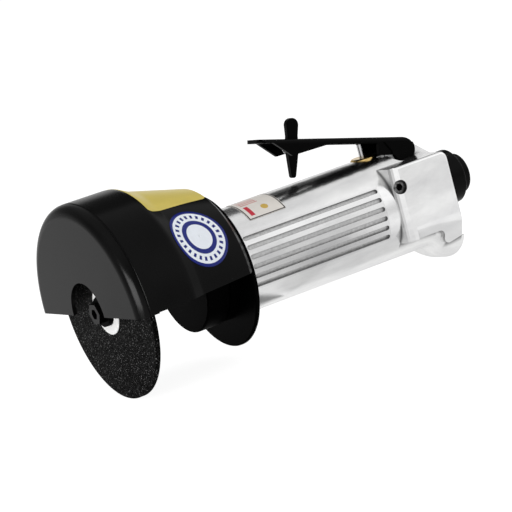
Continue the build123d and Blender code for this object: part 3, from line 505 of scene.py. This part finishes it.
def black_coat(name, tone, roughness, specular):
    made, tree, shader = surface(name, Specular_IOR_Level=specular)
    at = place(tree)
    cloud = noise(tree, at, COAT_CLOUDS, 3.0)
    peel = noise(tree, at, COAT_PEEL)
    wire(
        tree, shader,
        Base_Color=tones(tree, cloud, (1 - COAT_TONE_VARIES) * tone, (1 + COAT_TONE_VARIES) * tone),
        Roughness=spread(tree, cloud, roughness, COAT_ROUGHNESS_VARIES),
        Normal=bump(tree, peel, *SKIN_BUMP))
    return made


def worn_oxide():
    """Blackened steel rubbed grey on its flats."""
    made, tree, shader = surface("worn_black_oxide", Metallic=1.0)
    rubbed = noise(tree, place(tree), RUBBED_SPOTS, 4.0, 0.6)
    tone = tones(tree, rubbed, *RUBBED_TONES, NARROW_REACH)
    tone = mix(tree, 1.0, tone, crevice(tree, *RUBBED_CREVICE), "MULTIPLY")
    wire(tree, shader, Base_Color=tone, Roughness=ramp(tree, rubbed, *RUBBED_ROUGHNESS))
    return made


def metal(name, colour, roughness):
    made, tree, shader = surface(name, Metallic=1.0)
    cloud = noise(tree, place(tree), METAL_CLOUDS, 3.0)
    wire(
        tree, shader,
        Base_Color=tones(tree, cloud, scaled(colour, METAL_DARK), colour),
        Roughness=spread(tree, cloud, roughness, METAL_VARIES))
    return made


def abrasive():
    """Dark grit, with a few bright grains."""
    made, tree, shader = surface("abrasive_grit", Specular_IOR_Level=GRIT_SPECULAR)
    at = place(tree)
    grains = node(tree, "ShaderNodeTexVoronoi", {"Vector": at, "Scale": GRIT_GRAINS}).outputs
    tone = node(tree, "ShaderNodeSeparateColor", {"Color": grains["Color"]}).outputs["Red"]
    height = calc(tree, "ADD", grains["Distance"], noise(tree, at, GRIT_FINE))
    wire(
        tree, shader,
        Base_Color=shade(tree, tone, *GRIT_TONES),
        Roughness=ramp(tree, tone, *GRIT_ROUGHNESS),
        Normal=bump(tree, height, *GRIT_BUMP))
    return made


def paper(name, colour, roughness=PAPER_ROUGHNESS):
    """Paper, and other dull and fibrous stuff."""
    made, tree, shader = surface(name)
    fibre = noise(tree, place(tree), PAPER_FIBRES, 4.0)
    wire(
        tree, shader,
        Base_Color=tones(tree, fibre, scaled(colour, PAPER_DARK), colour, NARROW_REACH),
        Roughness=ramp(tree, fibre, roughness - PAPER_VARIES, roughness + PAPER_VARIES))
    return made


# Printed films

FILM_WEAR = 220.0
FILM_DARK = 0.94
FILM_VARIES = 0.2
FILM_SPECULAR = 0.2


def film(name, colour, roughness, design=None):
    """A vinyl film; design prints on its plain colour, by places on the flat film."""
    made, tree, shader = surface(name, Specular_IOR_Level=FILM_SPECULAR)
    wear = noise(tree, place(tree), FILM_WEAR, 4.0, 0.6)
    tone = tones(tree, wear, scaled(colour, FILM_DARK), colour)
    if design:
        tone = design(tree, node(tree, "ShaderNodeTexCoord").outputs["UV"], tone)
    wire(
        tree, shader,
        Base_Color=tone,
        Roughness=spread(tree, wear, roughness, FILM_VARIES),
        Normal=bump(tree, wear, *SKIN_BUMP))
    return made


def badge_print(tree, flat, plain):
    """A rim, a ring and a circle of plain ticks."""
    x, y, _ = parts_of(tree, flat)
    far = node(tree, "ShaderNodeVectorMath", {0: flat}, operation="LENGTH").outputs["Value"]
    turns = calc(tree, "DIVIDE", calc(tree, "ARCTAN2", y, x), 2 * math.pi / BADGE_TICKS)
    within = calc(tree, "FRACT", calc(tree, "ADD", turns, BADGE_TICKS))
    ticks = product(
        tree, calc(tree, "LESS_THAN", within, BADGE_TICK_SHARE), band(tree, far, *BADGE_TICK_RING))
    rim = calc(tree, "GREATER_THAN", far, BADGE_R - BADGE_RIM)
    rings = calc(tree, "ADD", band(tree, far, *BADGE_RING), rim)
    return mix(tree, calc(tree, "ADD", rings, ticks, clamp=True), plain, (*BADGE_BLUE, 1.0))


def label_size(spot):
    low, high = spot["front_angles"]
    return spot["x"][1] - spot["x"][0], math.radians(high - low) * spot["radius"]


def frame_share(tree, flat):
    """A thin line just inside the edges of the barrel's label."""
    x, y, _ = parts_of(tree, flat)
    length, height = label_size(BARREL_LABEL)
    ends = calc(tree, "MINIMUM", x, calc(tree, "SUBTRACT", length, x))
    sides = calc(tree, "MINIMUM", y, calc(tree, "SUBTRACT", height, y))
    return band(tree, calc(tree, "MINIMUM", ends, sides), FRAME_INSET, FRAME_INSET + FRAME_WIDTH)


def box_share(tree, flat, along, up):
    x, y, _ = parts_of(tree, flat)
    return product(tree, band(tree, x, *along), band(tree, y, *up))


def plate_print(tree, flat, plain):
    """A plain red bar, a few pink rules and an ochre dot in a dark frame."""
    colour = mix(tree, box_share(tree, flat, *PLATE_BAR), plain, (*PLATE_RED, 1.0))
    for low in PLATE_RULES:
        rule = box_share(tree, flat, PLATE_RULE_ENDS, (low, low + PLATE_RULE_WIDTH))
        colour = mix(tree, rule, colour, (*PLATE_PINK, 1.0))
    inputs = {0: flat, 1: (*PLATE_DOT, 0.0)}
    away = node(tree, "ShaderNodeVectorMath", inputs, operation="DISTANCE").outputs["Value"]
    colour = mix(tree, calc(tree, "LESS_THAN", away, PLATE_DOT_R), colour, (*PLATE_OCHRE, 1.0))
    return mix(tree, frame_share(tree, flat), colour, (*FRAME_DARK, 1.0))


HOOD_FILM = film("yellow_film", (0.68, 0.55, 0.125), 0.30)
BADGE_FILM = film("badge_film", (0.84, 0.88, 0.94), 0.25, badge_print)
PLATE_FILM = film("plate_film", (0.80, 0.76, 0.71), 0.30, plate_print)


# The solids' materials, by slot, and for some solids by node

# A shaded copy of the black oxide, darker and less glossy, for the nut and washer that sit in the hood's shade
SHADED_OXIDE = black_coat("oiled_black", 0.0010, 0.45, 0.008)
BY_SLOT = {
    "body_aluminium": aluminium(),
    "black_enamel": black_coat("gloss_black_enamel", 0.0015, 0.20, 0.05),
    "black_steel": black_coat("black_oxide", 0.0015, 0.22, 0.06),
    "lever_black": black_coat("satin_black", 0.0012, 0.28, 0.03),
    "abrasive": abrasive(),
    "label_paper": paper("blotter_paper", (0.92, 0.92, 0.91)),
    "bright_steel": metal("ground_steel", (0.62, 0.62, 0.63), 0.22),
    "motor_iron": metal("ground_iron", (0.36, 0.36, 0.37), 0.4),
    "brass": metal("turned_brass", (0.80, 0.56, 0.22), 0.2),
    "vane_resin": paper("vane_resin", (0.20, 0.12, 0.07)),
    "seal_rubber": paper("seal_rubber", (0.02, 0.02, 0.02)),
    "silencer_felt": paper("silencer_felt", (0.10, 0.10, 0.10), 0.9),
}
BY_NODE = {
    "set_screw": worn_oxide(),
    "nose_nut": SHADED_OXIDE,
    "outer_washer": SHADED_OXIDE,
    # A shaded copy of the enamel, darker and less glossy, for the guard plate that sits in the hood's shade
    "guard_plate": black_coat("dull_black_enamel", 0.0012, 0.35, 0.008),
}
for part in frame["record"]["subparts"]:
    mesh = nodes[part["node"]].data
    mesh.materials.clear()
    mesh.materials.append(BY_NODE.get(part["node"], BY_SLOT[part["material_slot"]]))


# Stickers, laid on the solids they are stuck to

def carrier(name):
    mesh = nodes[name].data
    return BVHTree.FromPolygons([v.co for v in mesh.vertices], [tuple(p.vertices) for p in mesh.polygons])


def outward(angle):
    turn = math.radians(angle)
    return Vector((0, -math.cos(turn), math.sin(turn)))


def round_hit(tree, x, angle):
    """The carrier's skin at a place along X and an angle round the spindle axis."""
    away = outward(angle)
    return tree.ray_cast(Vector((x, 0, SPINDLE_Z)) + RAY_FROM_AXIS * away, -away)[:2]


def eased(count):
    """Places from 0 to 1, closer together at both ends."""
    return [(1 - math.cos(math.pi * i / count)) / 2 for i in range(count + 1)]


def drawn_in(place_on, length, corner):
    """How far a rounded corner draws the sides in, at a place along the length."""
    inside = min(place_on, length - place_on)
    if inside >= corner:
        return 0.0
    return corner - math.sqrt(corner ** 2 - (corner - inside) ** 2)


def lay(name, body, rows, material, closed=False):
    """A thin film through rows of (point, normal, flat place), as one smooth sheet."""
    build = bmesh.new()
    flat = build.loops.layers.uv.new("UVMap")
    where = {}
    grid = []
    for row in rows:
        line = []
        for point, normal, place_on in row:
            corner = build.verts.new(point + STICKER_LIFT * normal)
            where[corner] = place_on
            line.append(corner)
        grid.append(line)
    for low, high in zip(grid, grid[1:]):
        cells = list(zip(low, low[1:], high[1:], high))
        if closed:
            cells.append((low[-1], low[0], high[0], high[-1]))
        for corners in cells:
            face = build.faces.new(corners)
            face.smooth = True
            for loop in face.loops:
                loop[flat].uv = where[loop.vert]
    build.normal_update()
    row, column = len(rows) // 2, len(rows[0]) // 2
    if grid[row][column].normal.dot(rows[row][column][1]) < 0:
        bmesh.ops.reverse_faces(build, faces=build.faces[:])
    mesh = bpy.data.meshes.new(name)
    build.to_mesh(mesh)
    build.free()
    mesh.materials.append(material)
    obj = bpy.data.objects.new(name, mesh)
    bpy.context.scene.collection.objects.link(obj)
    thick = obj.modifiers.new("thickness", "SOLIDIFY")
    thick.thickness = STICKER_THICKNESS
    thick.offset = -1.0
    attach(obj, body)


def label(name, body, tree, spot, material):
    """A four-sided label with rounded corners."""
    rows = []
    length, height = label_size(spot)
    for along in eased(LABEL_STEPS_ALONG):
        pull = drawn_in(along * length, length, spot["corner"]) / height
        low, high = [a + along * (b - a) for a, b in zip(spot["front_angles"], spot["rear_angles"])]
        row = []
        for up in eased(LABEL_STEPS_ROUND):
            share = pull + (1 - 2 * pull) * up
            point, normal = round_hit(tree, spot["x"][0] + along * length, low + (high - low) * share)
            row.append((point, normal, (along * length, share * height)))
        rows.append(row)
    lay(name, body, rows, material)


def badge(tree):
    """A round badge, pressed onto the hood's curve."""
    centre, normal = round_hit(tree, BADGE_X, BADGE_ANGLE)
    side = Vector((1, 0, 0)) - normal.x * normal
    side.normalize()
    up = normal.cross(side)
    rows = []
    for step in range(BADGE_STEPS_OUT + 1):
        radius = max(BADGE_R * step / BADGE_STEPS_OUT, BADGE_CENTRE_R)
        ring = []
        for i in range(BADGE_STEPS_ROUND):
            turn = 2 * math.pi * i / BADGE_STEPS_ROUND
            flat = Vector((math.cos(turn), math.sin(turn))) * radius
            start = centre + RAY_FROM_SKIN * normal + flat.x * side + flat.y * up
            point, skin = tree.ray_cast(start, -normal)[:2]
            ring.append((point, skin, flat))
        rows.append(ring)
    lay("round_badge", "guard", rows, BADGE_FILM, closed=True)


hood = carrier("guard_hood")
label("hood_label", "guard", hood, HOOD_LABEL, HOOD_FILM)
label("barrel_label", "housing", carrier("housing"), BARREL_LABEL, PLATE_FILM)
badge(hood)


# Stage: pale floor, soft light and camera

def room(tree, x, y):
    """How bright the room looks in a reflection, by the direction from the tool."""
    turn = calc(tree, "ARCTAN2", x, calc(tree, "MULTIPLY", y, -1.0))
    share = calc(tree, "MULTIPLY_ADD", turn, 0.5 / math.pi, 0.5)
    return shade(tree, share, *[((angle + 180) / 360, level) for angle, level in ROOM])


def white_for_lens(tree, mirrored):
    """How much of the plain white a ray meets, and how bright it is for that ray.

    The lens, mirrors and glass see it: the lens sees it white, reflections see the room.
    """
    path = node(tree, "ShaderNodeLightPath").outputs
    seen = calc(tree, "ADD", path["Is Camera Ray"], path["Is Glossy Ray"])
    seen = calc(tree, "ADD", seen, path["Is Transmission Ray"], clamp=True)
    apart = calc(tree, "SUBTRACT", LENS_WHITE, mirrored)
    return seen, calc(tree, "MULTIPLY_ADD", path["Is Camera Ray"], apart, mirrored)


def world():
    """Even soft light, and a white room for the lens and for reflections."""
    made = bpy.data.worlds.new("studio")
    bpy.context.scene.world = made
    made.use_nodes = True
    tree = made.node_tree
    soft = tree.nodes["Background"]
    soft.inputs["Color"].default_value = grey(1.0)
    soft.inputs["Strength"].default_value = SOFT_LIGHT
    x, y, z = parts_of(tree, node(tree, "ShaderNodeTexCoord").outputs["Generated"])
    upper = ramp(tree, rise(tree, y, *UPPER_FAR_Y), UPPER_NEAR, UPPER_FAR)
    upper = ramp(tree, rise(tree, x, *UPPER_LEFT_X), UPPER_LEFT, upper)
    upper = mix(tree, rise(tree, z, *TOP_Z), upper, grey(TOP_TONE))
    mirrored = mix(tree, rise(tree, z, *UPPER_Z), room(tree, x, y), upper)
    depth = product(tree, rise(tree, y, *CARD_NEAR_Y), rise(tree, y, *CARD_FAR_Y))
    card = product(tree, rise(tree, x, *CARD_X), rise(tree, z, *CARD_Z), depth)
    mirrored = calc(tree, "MULTIPLY", mirrored, ramp(tree, card, 1.0, CARD_TONE))
    seen, level = white_for_lens(tree, mirrored)
    plain = node(tree, "ShaderNodeBackground", {"Color": grey(1.0), "Strength": level})
    mixed = node(tree, "ShaderNodeMixShader", {0: seen, 1: soft.outputs[0], 2: plain.outputs[0]})
    tree.links.new(mixed.outputs[0], tree.nodes["World Output"].inputs["Surface"])


def across_floor(tree, y, levels):
    """How bright the floor looks, through (y, level) stops from the near side to the far side."""
    near, far = levels[0][0], levels[-1][0]
    share = calc(tree, "DIVIDE", calc(tree, "SUBTRACT", y, near), far - near)
    return shade(tree, share, *[((stop - near) / (far - near), level) for stop, level in levels])


def beside_tool(tree, x, y):
    """How bright the floor looks in the barrel and, further to the rear, in the block."""
    barrel, block = across_floor(tree, y, BARREL_FLOOR), across_floor(tree, y, BLOCK_FLOOR)
    return mix(tree, rise(tree, x, *BARREL_FLOOR_END), block, barrel)


def floor_white():
    """A pale floor that keeps the object's shadow and takes on much of the room's white."""
    made, tree, shader = surface("floor_white", Base_Color=grey(FLOOR_TONE), Roughness=FLOOR_ROUGHNESS)
    x, y, _ = parts_of(tree, place(tree))
    x = calc(tree, "SUBTRACT", x, TOOL_MIDDLE)
    left_behind = product(tree, rise(tree, y, *FLOOR_BEHIND_Y), rise(tree, x, *FLOOR_BEHIND_X))
    behind = ramp(tree, left_behind, 1.0, FLOOR_BEHIND)
    mirrored = product(tree, room(tree, x, y), behind, beside_tool(tree, x, y))
    seen, level = white_for_lens(tree, mirrored)
    glow = node(tree, "ShaderNodeEmission", {"Color": grey(1.0), "Strength": level})
    share = calc(tree, "MULTIPLY", seen, FLOOR_GLOW)
    mixed = node(tree, "ShaderNodeMixShader", {0: share, 1: shader.outputs[0], 2: glow.outputs[0]})
    tree.links.new(mixed.outputs[0], tree.nodes["Material Output"].inputs["Surface"])
    return made


def floor():
    mesh = bpy.data.meshes.new("floor")
    build = bmesh.new()
    level = Matrix.Translation((0, 0, FLOOR_Z))
    bmesh.ops.create_circle(build, cap_ends=True, segments=FLOOR_CORNERS, radius=FLOOR_RADIUS, matrix=level)
    build.to_mesh(mesh)
    build.free()
    mesh.materials.append(floor_white())
    obj = bpy.data.objects.new("floor", mesh)
    bpy.context.scene.collection.objects.link(obj)


def lamp(name, position, size, power, mirrored=False, only=()):
    """A soft area lamp. It lights everything, unless only names the nodes that it lights."""
    data = bpy.data.lights.new(name, "AREA")
    data.shape = "RECTANGLE"
    data.size, data.size_y = size
    data.energy = power
    obj = bpy.data.objects.new(name, data)
    bpy.context.scene.collection.objects.link(obj)
    obj.location = position
    obj.rotation_euler = (AIM - Vector(position)).to_track_quat("-Z", "Y").to_euler()
    obj.visible_glossy = mirrored
    if only:
        lit = bpy.data.collections.new(name + "_lit")
        for node_name in only:
            lit.objects.link(nodes[node_name])
        obj.light_linking.receiver_collection = lit


def camera():
    data = bpy.data.cameras.new("camera")
    data.sensor_width = SENSOR
    data.lens = LENS
    obj = bpy.data.objects.new("camera", data)
    bpy.context.scene.collection.objects.link(obj)
    turn = Matrix.Rotation(math.radians(AZIMUTH), 4, "Z")
    tilt = Matrix.Rotation(math.radians(90 - ELEVATION), 4, "X")
    roll = Matrix.Rotation(math.radians(ROLL), 4, "Z")
    obj.matrix_world = Matrix.Translation(AIM) @ turn @ tilt @ roll @ Matrix.Translation((0, 0, DISTANCE))
    bpy.context.scene.camera = obj


world()
floor()
for settings in LAMPS:
    lamp(**settings)
camera()
bpy.context.scene.view_settings.view_transform = "Standard"
